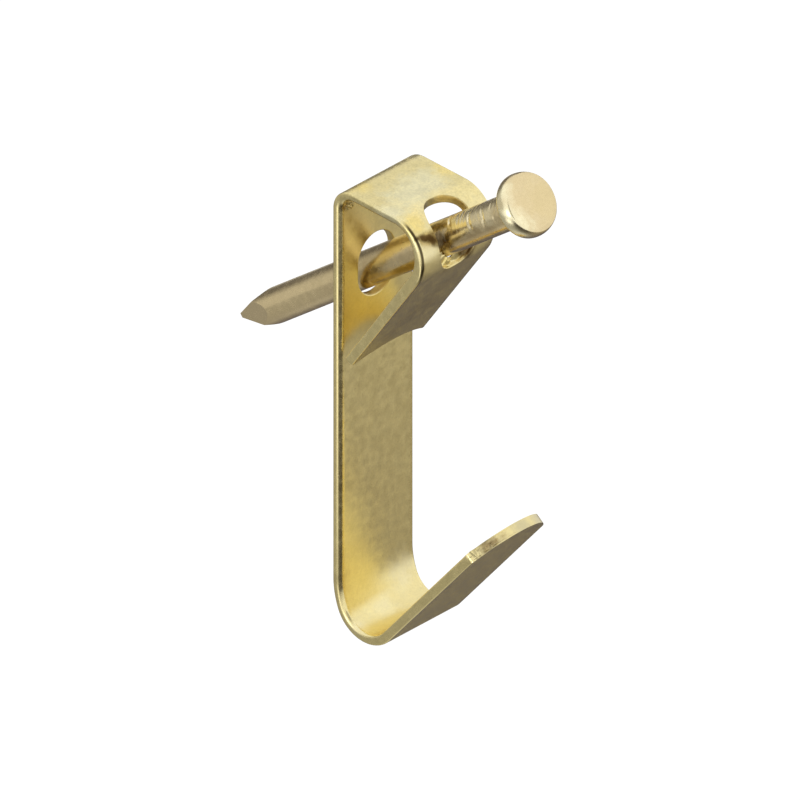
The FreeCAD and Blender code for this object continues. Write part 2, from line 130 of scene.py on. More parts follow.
class NailSizes(bpy.types.PropertyGroup):
    """Sizes of the nail, along its own axis with the wall at zero."""

    diameter: length("Diameter", "Diameter of the shank", 2.8)
    slant: angle("Slant", "Rise of the nail from the wall's normal", 35.3)
    standoff: length("Stand-off", "Length in front of the wall", 20.25)
    behind: length("Behind", "Length behind the wall plane", 15.5)
    head_diameter: length("Head", "Diameter of the head", 5.1)
    head_thickness: length("Head thickness", "Thickness of the head", 1.3)
    rim_swell: length("Rim swell", "Swell of the head's rim beyond its face", 0.2)
    face_edge: length("Face edge", "Rounding between the head's face and its rim", 0.12)
    neck_width: length("Neck width", "Widening of the shank under the head", 0.2)
    neck_length: length("Neck length", "Length of that widening", 0.5)
    point_length: length("Point", "Length of the upper and side flats of the point", 4.3)
    heel_length: length("Heel", "Length of the point's lower flat", 4.1)
    point_flat: length("Tip", "Width of the blunt tip", 0.3)
    tip_round: length("Tip rounding", "Rounding of the blunt tip", 0.13)
    edge_round: length("Edge rounding", "Rounding of the nail's sharp edges", 0.07)
    point_lift: length("Tip lift", "Height of the blunt tip above the nail's axis", 0.3)
    grip_pitch: length("Grip pitch", "Distance between the gripper marks under the head", 0.5)
    grip_depth: length("Grip depth", "Depth of the gripper marks", 0.06)


class BrassLook(bpy.types.PropertyGroup):
    """Colours of the brass plating."""

    strip: colour("Strip", "Brass of the strip", 0.87, 0.745, 0.37)
    strip_pale: colour("Pale stain", "Silvery stain on the strip", 0.77, 0.72, 0.46)
    # Painted shade: darker towards the back and far side of the top tab.
    tab_painted_shade: colour("Dull tab", "Duller plating on the top tab", 0.70, 0.605, 0.30)
    # Painted highlight: brighter patches in the cradle and on the front bend.
    strip_painted_highlight: colour("Bright plating", "Brighter plating inside the cradle", 0.91, 0.81, 0.48)
    strip_gold: colour("Gold patches", "Deeper yellow patches on the strip", 0.86, 0.68, 0.22)
    nail: colour("Nail", "Brass of the nail", 0.76, 0.62, 0.355)
    nail_dull: colour("Nail dull", "Duller plating on the head's face", 0.75, 0.61, 0.33)
    nail_pale: colour("Nail pale", "Pale blotches on the nail", 0.83, 0.71, 0.46)
    # Painted highlight: brighter patches on the plate's front face, high and low.
    plate_painted_highlight: colour("Clean plating", "Cleanest plating, low on the plate", 0.97, 0.85, 0.43)
    lip_dull: colour("Dull lip", "Duller metal on the lip's end", 0.64, 0.57, 0.34)
    # Painted light: the nail behind the wall plane and its point made lighter.
    nail_painted_light: colour("Nail clean", "Cleaner plating behind the wall plane", 0.93, 0.77, 0.46)
    # Painted highlight along the upper side of the shank.
    shank_painted_highlight: colour("Nail bright", "Scraped plating between the gripper marks", 0.94, 0.83, 0.54)
    # Painted highlight on the head's rim.
    rim_painted_highlight: colour("Rim", "Palest plating on the head's rim", 0.98, 0.90, 0.60)
    # Also used as painted shade under the shank and where the nail enters the plate.
    tarnish_and_shade: colour("Tarnish", "Brown tarnish and specks", 0.27, 0.17, 0.06)
    # A near-black line along the outer left edge of the front bend.
    bend_edge_line: colour("Dirt", "Dirt along the outer edge of the front bend", 0.06, 0.04, 0.015)
    # Painted shade around the front slot, on the strip and the nail.
    slot_painted_shade: colour("Dark stain", "Darkest stain around the front slot", 0.13, 0.08, 0.03)


class StageLook(bpy.types.PropertyGroup):
    """The studio around the hook."""

    turn: angle("Turn", "Camera's turn to the hook's left", 48.07)
    rise: angle("Rise", "Camera's height above the horizon", 28.77)
    view_width: length("View width", "Width of the picture", 60.136)
    right: length("Right", "Picture centre to the right of the nail's entry", 2.334)
    down: length("Down", "Picture centre below the nail's entry", 9.918)
    floor_drop: length("Floor", "Floor below the nail's entry", 75.0)
    ambient: number("Ambient", "Strength of the even light", 0.6)


def ease(value):
    value = min(1.0, max(0.0, value))
    return value * value * (3 - 2 * value)


def deselect_all():
    bpy.ops.object.select_all(action="DESELECT")


def make_active(piece):
    deselect_all()
    piece.select_set(True)
    bpy.context.view_layer.objects.active = piece


def edit(piece):
    make_active(piece)
    bpy.ops.object.mode_set(mode="EDIT")
    bpy.ops.mesh.select_mode(type="VERT")
    bpy.ops.mesh.select_all(action="SELECT")


def leave_edit():
    bpy.ops.object.mode_set(mode="OBJECT")


def pick(piece, wanted):
    """In edit mode, leaves only the vertices selected whose place passes the test."""
    mesh = bmesh.from_edit_mesh(piece.data)
    for vertex in mesh.verts:
        vertex.select_set(bool(wanted(vertex.co)))
    mesh.select_flush_mode()
    bmesh.update_edit_mesh(piece.data)


def name_new(title):
    piece = bpy.context.active_object
    piece.name = title
    piece.data.name = title
    return piece


def settle(piece):
    """Moves the object's own place into its mesh."""
    make_active(piece)
    bpy.ops.object.transform_apply(location=True, rotation=True, scale=True)
    return piece


def add_block(title, centre, extent):
    deselect_all()
    bpy.ops.mesh.primitive_cube_add(size=1.0, location=centre, scale=extent)
    return settle(name_new(title))


def add_drum(title, centre, radius, depth, sides):
    deselect_all()
    bpy.ops.mesh.primitive_cylinder_add(vertices=sides, radius=radius, depth=depth, location=centre)
    return settle(name_new(title))


def add_slot(title, foot, top, width, depth):
    """A prism with two round ends: a circle pulled apart, then extruded."""
    half_step = math.pi / SLOT_SIDES
    stretch = (top - foot - width) / 2
    deselect_all()
    bpy.ops.mesh.primitive_circle_add(
        vertices=SLOT_SIDES, radius=width / 2, fill_type="NGON", rotation=(0, 0, half_step)
    )
    piece = settle(name_new(title))
    edit(piece)
    pick(piece, lambda place: place.y > 0)
    bpy.ops.transform.translate(value=(0, stretch, 0))
    pick(piece, lambda place: place.y < 0)
    bpy.ops.transform.translate(value=(0, -stretch, 0))
    bpy.ops.mesh.select_all(action="SELECT")
    bpy.ops.transform.translate(value=(0, (foot + top) / 2, -depth / 2))
    bpy.ops.mesh.extrude_region_move(TRANSFORM_OT_translate={"value": (0, 0, depth)})
    bpy.ops.mesh.select_all(action="SELECT")
    bpy.ops.mesh.normals_make_consistent(inside=False)
    leave_edit()
    return piece


def combine(piece, tool, operation):
    """Applies one solid to another and removes the tool."""
    make_active(piece)
    step = piece.modifiers.new("combine", "BOOLEAN")
    step.operation = operation
    step.solver = "EXACT"
    step.object = tool
    bpy.ops.object.modifier_apply(modifier=step.name)
    bpy.data.objects.remove(tool)


def round_edges(piece, width, segments):
    make_active(piece)
    step = piece.modifiers.new("rounding", "BEVEL")
    step.width = width
    step.segments = segments
    step.limit_method = "ANGLE"
    step.angle_limit = ROUNDED_ABOVE
    bpy.ops.object.modifier_apply(modifier=step.name)


def pick_edges(piece, wanted):
    """Goes into edit mode with only the edges selected that pass the test."""
    edit(piece)
    bpy.ops.mesh.select_mode(type="EDGE")
    bpy.ops.mesh.select_all(action="DESELECT")
    mesh = bmesh.from_edit_mesh(piece.data)
    for edge in mesh.edges:
        edge.select_set(wanted(edge))
    mesh.select_flush_mode()
    bmesh.update_edit_mesh(piece.data)


def bevel_edges(piece, width, segments, wanted):
    """Rounds only the edges whose two ends pass the test."""
    pick_edges(piece, lambda edge: wanted(edge.verts[0].co, edge.verts[1].co))
    bpy.ops.mesh.bevel(offset=width, segments=segments, affect="EDGES")
    leave_edit()


def smooth(piece):
    """Smooth shading that keeps the flat faces flat and the cut edges crisp."""
    make_active(piece)
    bpy.ops.object.shade_smooth_by_angle(angle=CRISP_ABOVE)
    step = piece.modifiers.new("flat faces", "WEIGHTED_NORMAL")
    step.weight = 100
    step.keep_sharp = True
    bpy.ops.object.modifier_apply(modifier=step.name)


class Stretch:
    """One straight or bent stretch of the sheet's middle, in the plane of forward and up."""

    def __init__(self, begin, place, heading, run, turn):
        self.begin = begin
        self.place = place
        self.heading = heading
        self.run = run
        self.turn = turn

    def at(self, distance):
        """The place and heading at a distance from the fold's start."""
        inside = distance - self.begin
        if self.turn == 0:
            ahead = Vector((math.cos(self.heading), math.sin(self.heading)))
            return self.place + ahead * inside, self.heading
        radius = self.run / self.turn
        heading = self.heading + self.turn * inside / self.run
        centre = self.place + Vector((-math.sin(self.heading), math.cos(self.heading))) * radius
        return centre - Vector((-math.sin(heading), math.cos(heading))) * radius, heading


def chain(place, heading, steps):
    """Strings stretches together; each step is a run and a turn."""
    stretches = []
    begin = 0.0
    for run, turn in steps:
        stretch = Stretch(begin, place, heading, run, turn)
        stretches.append(stretch)
        begin += run
        place, heading = stretch.at(begin)
    return stretches


class FoldedSheet:
    """The strip's fold: its flat blank lies in X and Y with the inner face up, and folds to the hook."""

    def __init__(self, sizes):
        skin = sizes.sheet / 2
        right_angle = math.pi / 2
        plate_up = STRIP_HIGH.z - sizes.sheet - sizes.top_bend
        cradle_rise = (sizes.lead_bend - sizes.cradle_bend) * math.sin(sizes.lead_sweep)
        plate_down = -STRIP_LOW.z - sizes.sheet - sizes.cradle_bend - cradle_rise
        top_turn = right_angle + sizes.tab_slope
        front_turn = right_angle + sizes.leg_angle - sizes.tab_slope
        cradle_turn = 2 * right_angle - sizes.lip_angle - sizes.lead_sweep
        front_forward = (
            sizes.sheet
            + sizes.top_bend
            + (sizes.top_bend - sizes.front_bend) * math.sin(sizes.tab_slope)
            + sizes.tab_length * math.cos(sizes.tab_slope)
        )
        leg_forward = front_forward + sizes.front_bend * math.cos(sizes.leg_angle)
        leg_length = (leg_forward - sizes.sheet - sizes.leg_gap) / math.sin(sizes.leg_angle)
        start = Vector((skin, 0.0))
        self.up = chain(start, right_angle, [
            (plate_up, 0.0),
            (top_turn * (sizes.top_bend + skin), -top_turn),
            (sizes.tab_length, 0.0),
            (front_turn * (sizes.front_bend + skin), -front_turn),
            (leg_length, 0.0),
        ])
        self.down = chain(start, -right_angle, [
            (plate_down, 0.0),
            (sizes.lead_sweep * (sizes.lead_bend + skin), sizes.lead_sweep),
            (cradle_turn * (sizes.cradle_bend + skin), cradle_turn),
            (sizes.lip_length, 0.0),
        ])
        self.top_bend, self.front_bend, self.leg = self.up[1], self.up[3], self.up[4]
        self.cradle, self.lip = self.down[2], self.down[3]
        self.top = self.leg.begin + self.leg.run
        self.foot = -(self.lip.begin + self.lip.run)
        self.slot_top = self.front_bend.begin + sizes.slot_lead
        self.slot_foot = self.leg.begin - sizes.slot_tail

    def place(self, flat):
        """Where a point of the flat blank comes to lie in the folded strip."""
        upward = flat.y >= 0
        distance = abs(flat.y)
        stretches = self.up if upward else self.down
        stretch = next((s for s in stretches if distance <= s.begin + s.run), stretches[-1])
        spot, heading = stretch.at(distance)
        inward = -1 if upward else 1
        spot = spot + Vector((-math.sin(heading), math.cos(heading))) * inward * flat.z
        return Vector((flat.x, -spot.x, spot.y))

    def cut_lines(self):
        """Where the blank is divided so that it can bend."""
        lines = []
        for side, stretches in ((1, self.up), (-1, self.down)):
            for stretch in stretches:
                parts = max(1, math.ceil(abs(stretch.turn) / BEND_STEP))
                lines += [side * (stretch.begin + stretch.run * i / parts) for i in range(parts + 1)]
        return sorted(set(round(line, 9) for line in lines))

    def fold(self, piece):
        for vertex in piece.data.vertices:
            vertex.co = self.place(vertex.co)
        piece.data.update()


def divide_across(piece, lines):
    edit(piece)
    for line in lines:
        bpy.ops.mesh.select_all(action="SELECT")
        bpy.ops.mesh.bisect(plane_co=(0, line, 0), plane_no=(0, 1, 0), threshold=WELD)
    leave_edit()


def dress(piece, material):
    piece.data.materials.clear()
    piece.data.materials.append(material)


class NodeSet:
    """Short ways to add and join shader nodes in one tree."""

    def __init__(self, tree):
        self.nodes = tree.nodes
        self.links = tree.links

    def feed(self, socket, value):
        if isinstance(value, bpy.types.NodeSocket):
            self.links.new(value, socket)
        else:
            socket.default_value = value

    def add(self, kind, fed, **settings):
        """Adds a node, sets it up, feeds its sockets and gives back what it puts out."""
        node = self.nodes.new("ShaderNode" + kind)
        for title, value in settings.items():
            setattr(node, title, value)
        for socket, value in fed.items():
            self.feed(node.inputs[socket], value)
        return node.outputs

    def place(self):
        return self.add("TexCoord", {})["Object"]

    def noise(self, where, scale, detail, roughness, output="Fac"):
        fed = {"Vector": where, "Scale": scale, "Detail": detail, "Roughness": roughness}
        return self.add("TexNoise", fed)[output]

    def spread(self, value, low, high, first=0.0, last=1.0):
        """Eases a value from one range into another."""
        fed = {"Value": value, "From Min": low, "From Max": high, "To Min": first, "To Max": last}
        return self.add("MapRange", fed, interpolation_type="SMOOTHSTEP")["Result"]

    def math(self, operation, first, second=0.0):
        return self.add("Math", {0: first, 1: second}, operation=operation)["Value"]

    def vector(self, operation, first, second=(0, 0, 0), output="Vector"):
        return self.add("VectorMath", {0: first, 1: second}, operation=operation)[output]

    def scale(self, vector, amount):
        return self.add("VectorMath", {0: vector, "Scale": amount}, operation="SCALE")["Vector"]

    def part(self, where, axis):
        """One coordinate of a place."""
        return self.add("SeparateXYZ", {"Vector": where})[axis]

    def blend(self, amount, first, second):
        """Goes from the first colour to the second."""
        return self.add("Mix", {"Factor": amount, 6: first, 7: second}, data_type="RGBA")[2]

    def group(self, tree, **given):
        fed = {title.replace("_", " "): value for title, value in given.items()}
        return self.add("Group", fed, node_tree=tree)

    def surface(self, shader):
        """Makes a shader the material's or the world's surface."""
        end = next(node for node in self.nodes if node.type.startswith("OUTPUT"))
        self.feed(end.inputs["Surface"], shader)


def new_material(title):
    """A new material, a set of short ways and its plain shader."""
    material = bpy.data.materials.new(title)
    material.use_nodes = True
    make = NodeSet(material.node_tree)
    return material, make, make.nodes["Principled BSDF"]


def glowing(title):
    """A new material that only glows, a set of short ways and the glow's colour."""
    material, make, shader = new_material(title)
    make.nodes.remove(shader)
    glow = make.nodes.new("ShaderNodeEmission")
    make.surface(glow.outputs["Emission"])
    return material, make, glow.inputs["Color"]


def shared_group(title, inputs, outputs):
    """A new node group with its sockets, its ends and a set of short ways."""
    group = bpy.data.node_groups.new(title, "ShaderNodeTree")
    for name, kind, value in inputs:
        group.interface.new_socket(name=name, in_out="INPUT", socket_type=kind).default_value = value
    for name, kind in outputs:
        group.interface.new_socket(name=name, in_out="OUTPUT", socket_type=kind)
    ends = group.nodes.new("NodeGroupInput").outputs, group.nodes.new("NodeGroupOutput").inputs
    return group, NodeSet(group), *ends


def plating_group():
    """Shared effect: mottled, specked metal plating on a slightly wavy, grained surface."""
    found = bpy.data.node_groups.get("brass_plating")
    if found:
        return found
    group, make, given, result = shared_group(
        "brass_plating",
        (
            ("Brass", "NodeSocketColor", (0.85, 0.73, 0.35, 1)),
            ("Pale", "NodeSocketColor", (0.8, 0.75, 0.5, 1)),
            ("Specks", "NodeSocketColor", (0.3, 0.2, 0.08, 1)),
            ("Blotch Scale", "NodeSocketFloat", 420.0),
            ("Blotch Amount", "NodeSocketFloat", 0.5),
            ("Speck Amount", "NodeSocketFloat", 0.3),
            ("Smoothest", "NodeSocketFloat", 0.26),
            ("Roughest", "NodeSocketFloat", 0.42),
            ("Wave Height", "NodeSocketFloat", 0.03),
            ("Grain Height", "NodeSocketFloat", 0.001),
            ("Streak Height", "NodeSocketFloat", 0.0),
            ("Grain Shade", "NodeSocketFloat", 0.2),
            ("Drawn", "NodeSocketVector", (0, 0, 0)),
        ),
        (
            ("Color", "NodeSocketColor"),
            ("Shade", "NodeSocketFloat"),
            ("Roughness", "NodeSocketFloat"),
            ("Height", "NodeSocketFloat"),
        ),
    )
    where = make.place()
    blotch = make.noise(where, given["Blotch Scale"], detail=5.0, roughness=0.62)
    blotch = make.math("MULTIPLY", make.spread(blotch, 0.42, 0.64), given["Blotch Amount"])
    speck = make.noise(where, scale=7000.0, detail=2.0, roughness=0.5)
    speck = make.math("MULTIPLY", make.spread(speck, 0.62, 0.76), given["Speck Amount"])
    stained = make.blend(blotch, given["Brass"], given["Pale"])
    make.feed(result["Color"], make.blend(speck, stained, given["Specks"]))
    fine = make.noise(where, scale=5600.0, detail=3.0, roughness=0.7)
    coarse = make.noise(where, scale=1500.0, detail=4.0, roughness=0.65)
    fleck = make.math("SUBTRACT", make.math("ADD", fine, coarse), 1.0)
    make.feed(result["Shade"], make.math("ADD", make.math("MULTIPLY", fleck, given["Grain Shade"]), 1.0))
    shine = make.noise(where, scale=1500.0, detail=4.0, roughness=0.6)
    make.feed(result["Roughness"], make.spread(shine, 0.3, 0.7, given["Smoothest"], given["Roughest"]))
    waves = make.noise(where, scale=430.0, detail=2.0, roughness=0.45)
    grain = make.noise(where, scale=7000.0, detail=3.0, roughness=0.6)
    streaks = make.noise(given["Drawn"], scale=3600.0, detail=2.0, roughness=0.5)
    height = make.math(
        "ADD",
        make.math("MULTIPLY", waves, given["Wave Height"]),
        make.math("MULTIPLY", grain, given["Grain Height"]),
    )
    height = make.math("ADD", height, make.math("MULTIPLY", streaks, given["Streak Height"]))
    make.feed(result["Height"], height)
    return group


# The even core of a soft spot, as a share of its radius.
SPOT_CORE = 0.25


def spot_group():
    """Shared effect: a soft spot with a ragged border around one place."""
    found = bpy.data.node_groups.get("soft_spot")
    if found:
        return found
    group, make, given, result = shared_group(
        "soft_spot",
        (
            ("Centre", "NodeSocketVector", (0, 0, 0)),
            ("Radius", "NodeSocketFloat", 2 * MM),
            ("Raggedness", "NodeSocketFloat", 1.5),
        ),
        (("Mask", "NodeSocketFloat"),),
    )
    where = make.place()
    stir = make.noise(where, scale=950.0, detail=6.0, roughness=0.68, output="Color")
    stir = make.vector("SUBTRACT", stir, (0.5, 0.5, 0.5))
    reach = make.math("MULTIPLY", given["Radius"], given["Raggedness"])
    ragged = make.vector("ADD", where, make.scale(stir, reach))
    away = make.vector("DISTANCE", ragged, given["Centre"], "Value")
    inner = make.math("MULTIPLY", given["Radius"], SPOT_CORE)
    make.feed(result["Mask"], make.spread(away, inner, given["Radius"], 1.0, 0.0))
    return group


def brass(title, values, patches, lay, polish=None, line=None):
    """Plated metal: the shared plating with patches of other colours at set places."""
    material, make, shader = new_material(title)
    where = make.place()
    plating = make.group(plating_group(), **values, **lay(make, where))
    tint = plating["Color"]
    for shade, strength, spots in patches:
        for x, y, z, radius in spots:
            centre = (x * MM, y * MM, z * MM)
            mask = make.group(spot_group(), Centre=centre, Radius=radius * MM)["Mask"]
            tint = make.blend(make.math("MULTIPLY", mask, strength), tint, shade)
    if line:
        shade, mask = line(make, where)
        tint = make.blend(mask, tint, shade)
    rough = plating["Roughness"]
    if polish:
        rough = make.math("MULTIPLY", rough, polish(make, where))
    bump = make.add("Bump", {"Strength": 1.0, "Distance": MM, "Height": plating["Height"]})
    make.feed(shader.inputs["Metallic"], 1.0)
    make.feed(shader.inputs["Base Color"], make.scale(tint, plating["Shade"]))
    make.feed(shader.inputs["Roughness"], rough)
    make.feed(shader.inputs["Normal"], bump["Normal"])
    return material


# How much the marks of drawing are stretched along the metal.
DRAWN_OUT = 0.04

# Ranges over which the strip's finish changes: up to the mottled tab, and out to the sheared edges.
TAB_HEIGHT = (6.5 * MM, 8.2 * MM)
SHEARED = (3.6 * MM, 3.9 * MM)

# The near-black line along the front bend's outer edge, and the ranges over which it fades.
BEND_MIDDLE = (0.0, -5.85 * MM, 5.11 * MM)
EDGE_LINE_RADIUS = 3.14 * MM
EDGE_LINE_ASIDE = -3.93 * MM
EDGE_LINE_FADE = (0.05 * MM, 0.16 * MM)
EDGE_LINE_FRONT = (-7.6 * MM, -6.8 * MM)
EDGE_LINE_ABOVE = (2.6 * MM, 3.4 * MM)
EDGE_LINE_AMOUNT = 0.92

# Places of the stains, painted highlights, painted light and painted shade in millimetres, each with its
# radius.
# Painted shade, darker towards the back and far side of the top tab.
SHADE_ON_TAB = (
    (0.0, -2.2, 8.8, 4.2),
    (-3.0, -3.0, 8.8, 3.0),
    (3.2, -3.0, 8.8, 2.6),
    (3.3, -5.8, 8.3, 1.6),
)
GOLD_ON_STRIP = (
    (3.9, -4.4, 8.3, 1.6),
    (-3.3, -7.5, 7.9, 1.5),
    (-2.6, -1.4, 8.8, 1.6),
    (-0.7, -8.2, 3.7, 1.1),
)
PALE_ON_STRIP = (
    (1.4, -4.6, 8.4, 2.6),
    (-1.1, -4.8, 8.4, 2.4),
    (-3.7, -5.6, 8.3, 1.8),
)
# Painted highlights in the cradle and on the front bend.
HIGHLIGHT_ON_STRIP = (
    (2.4, -1.1, -26.2, 2.2),
    (-0.7, -1.9, -28.1, 1.8),
    (-3.8, -2.5, -28.4, 1.0),
    (-3.2, -8.9, 6.2, 1.5),
)
BROWN_ON_STRIP = (
    (-3.9, -0.9, -24.9, 1.3),
    (-3.9, -0.9, -22.6, 1.1),
    (-3.9, -0.9, -20.4, 1.0),
    (-3.2, -0.8, 2.1, 1.6),
)
BROWN_ON_LEG = (
    (0.2, -6.3, -2.5, 3.3),
    (-1.3, -4.6, -4.9, 2.9),
    (1.2, -7.6, -0.2, 2.0),
)
RUST_ON_STRIP = (
    (-3.2, -14.6, -17.15, 0.8),
    (-2.6, -15.0, -16.85, 0.75),
    (-1.9, -15.3, -16.55, 0.6),
    (1.5, -8.5, 4.2, 1.0),
    (-3.6, -0.9, 7.0, 0.5),
)
# Painted highlights on the plate's front face.
HIGHLIGHT_ON_PLATE = (
    (-1.0, -1.2, -25.6, 4.2),
    (-3.0, -0.8, -20.5, 3.5),
    (-3.2, -0.8, 5.6, 1.5),
    (-2.9, -0.8, 4.4, 1.2),
    (-2.4, -0.8, -3.4, 2.2),
)
DULL_ON_LIP = (
    (3.0, -15.0, -16.9, 2.4),
    (0.0, -15.6, -16.2, 1.6),
    (-3.2, -15.1, -16.9, 1.8),
)
# Painted shade on the front bend around the front slot.
SHADE_BY_SLOT_ON_STRIP = (
    (-3.85, -8.31, 7.11, 0.3),
    (-3.5, -8.38, 7.05, 0.42),
    (-3.2, -8.44, 6.98, 0.55),
    (-2.8, -8.53, 6.83, 0.68),
    (-2.4, -8.63, 6.68, 0.8),
    (1.3, -8.4, 4.0, 0.9),
)
# Painted light on the nail behind the wall plane and on its point.
LIGHT_ON_NAIL_BACK = (
    (-1.0, 6.5, -4.6, 9.0),
    (-0.5, 11.5, -8.0, 4.5),
)
# Painted highlight on the head's rim.
HIGHLIGHT_ON_RIM = (
    (-1.8, -15.0, 12.8, 1.3),
    (-2.5, -16.1, 11.2, 1.9),
    (-2.3, -15.7, 10.4, 1.7),
    (-1.8, -16.8, 9.8, 1.6),
)
# Painted shade under the shank and where the nail enters the plate.
SHADE_UNDER_SHANK = (
    (-1.3, -1.2, 0.5, 1.7),
    (-1.1, -9.2, 5.6, 1.1),
    (-1.1, -10.2, 6.3, 1.1),
    (-1.1, -11.3, 7.0, 1.1),
    (-1.1, -12.3, 7.75, 1.1),
    (-1.1, -13.4, 8.5, 1.0),
)
# Painted highlight along the upper side of the shank.
HIGHLIGHT_ON_SHANK = (
    (-1.0, -9.4, 8.2, 1.6),
    (-1.1, -10.8, 8.9, 1.9),
    (-1.1, -12.6, 10.0, 1.9),
)
# Painted shade on the shank beside the front slot.
SHADE_BY_SLOT_ON_NAIL = (
    (-1.3, -8.6, 6.0, 1.4),
    (-0.6, -7.4, 6.3, 0.8),
)
DULL_ON_NAIL = (
    (1.3, -16.6, 11.5, 2.6),
)


def strip_brass(look):
    found = bpy.data.materials.get("strip_plating")
    if found:
        return found
    values = {
        "Brass": look.strip, "Pale": look.strip_pale, "Specks": look.tarnish_and_shade,
        "Blotch_Scale": 520.0, "Speck_Amount": 0.16, "Smoothest": 0.28, "Roughest": 0.40,
        "Wave_Height": 0.003, "Grain_Height": 0.0015, "Streak_Height": 0.002,
    }
    # Besides stains, these patches paint shade on the tab's back and around the front slot, and
    # highlights in the cradle and on the plate.
    patches = (
        (look.tab_painted_shade, 0.8, SHADE_ON_TAB),
        (look.strip_gold, 0.6, GOLD_ON_STRIP),
        (look.strip_pale, 0.8, PALE_ON_STRIP),
        (look.strip_painted_highlight, 0.8, HIGHLIGHT_ON_STRIP),
        (look.tarnish_and_shade, 0.14, BROWN_ON_STRIP),
        (look.tarnish_and_shade, 0.28, BROWN_ON_LEG),
        (look.plate_painted_highlight, 0.8, HIGHLIGHT_ON_PLATE),
        (look.lip_dull, 0.8, DULL_ON_LIP),
        (look.tarnish_and_shade, 0.7, RUST_ON_STRIP),
        (look.slot_painted_shade, 0.95, SHADE_BY_SLOT_ON_STRIP),
    )

    def lay(make, where):
        """Marks run along the strip, and the top tab is the most mottled."""
        height = make.part(where, "Z")
        return {
            "Drawn": make.vector("MULTIPLY", where, (1.0, DRAWN_OUT, DRAWN_OUT)),
            "Blotch_Amount": make.spread(height, *TAB_HEIGHT, 0.07, 0.45),
            "Grain_Shade": make.spread(height, *TAB_HEIGHT, 0.24, 0.5),
        }

    def polish(make, where):
        """The sheared edges are smoother than the faces."""
        return make.spread(make.math("ABSOLUTE", make.part(where, "X")), *SHEARED, 1.0, 0.7)

    def line(make, where):
        """A near-black line along the outer left edge of the front bend."""
        around = make.vector("MULTIPLY", make.vector("SUBTRACT", where, BEND_MIDDLE), (0.0, 1.0, 1.0))
        off = make.math("SUBTRACT", make.vector("LENGTH", around, output="Value"), EDGE_LINE_RADIUS)
        aside = make.math("SUBTRACT", make.part(where, "X"), EDGE_LINE_ASIDE)
        away = make.math("ADD", make.math("MULTIPLY", off, off), make.math("MULTIPLY", aside, aside))
        near = make.spread(make.math("SQRT", away), *EDGE_LINE_FADE, 1.0, 0.0)
        front = make.spread(make.part(where, "Y"), *EDGE_LINE_FRONT, 1.0, 0.0)
        above = make.spread(make.part(where, "Z"), *EDGE_LINE_ABOVE)
        mask = make.math("MULTIPLY", near, make.math("MULTIPLY", front, above))
        return look.bend_edge_line, make.math("MULTIPLY", mask, EDGE_LINE_AMOUNT)

    return brass("strip_plating", values, patches, lay, polish, line)


def nail_brass(look, slant):
    values = {
        "Brass": look.nail, "Pale": look.nail_pale, "Specks": look.tarnish_and_shade,
        "Blotch_Scale": 700.0, "Blotch_Amount": 0.25, "Speck_Amount": 0.08, "Smoothest": 0.17,
        "Roughest": 0.28, "Wave_Height": 0.006, "Grain_Height": 0.0003, "Streak_Height": 0.004,
    }
    # Besides stains, these patches paint light behind the wall, highlights on the rim and the shank's
    # upper side, and shade under the shank and by the slot.
    patches = (
        (look.nail_dull, 0.8, DULL_ON_NAIL),
        (look.nail_painted_light, 0.8, LIGHT_ON_NAIL_BACK),
        (look.rim_painted_highlight, 0.9, HIGHLIGHT_ON_RIM),
        (look.shank_painted_highlight, 0.9, HIGHLIGHT_ON_SHANK),
        (look.tarnish_and_shade, 0.35, SHADE_UNDER_SHANK),
        (look.slot_painted_shade, 0.9, SHADE_BY_SLOT_ON_NAIL),
    )

    def lay(make, where):
        """Marks run along the nail."""
        turned = make.add("Mapping", {"Vector": where, "Rotation": (slant - math.pi / 2, 0, 0)})
        return {"Drawn": make.vector("MULTIPLY", turned["Vector"], (1.0, 1.0, DRAWN_OUT))}

    return brass("nail_plating", values, patches, lay)


# The cutting tools are this many sheets deep, and the lip's waste reaches this far past its crown.
TOOL_SHEETS = 4
WASTE_SPARE = 0.2 * MM

# The blank's corners lie beyond this share of its width and its sheet.
CORNER_SHARE = 0.49

# The swollen left edge runs out over this length before the leg's end.
SWELL_END = 2 * MM


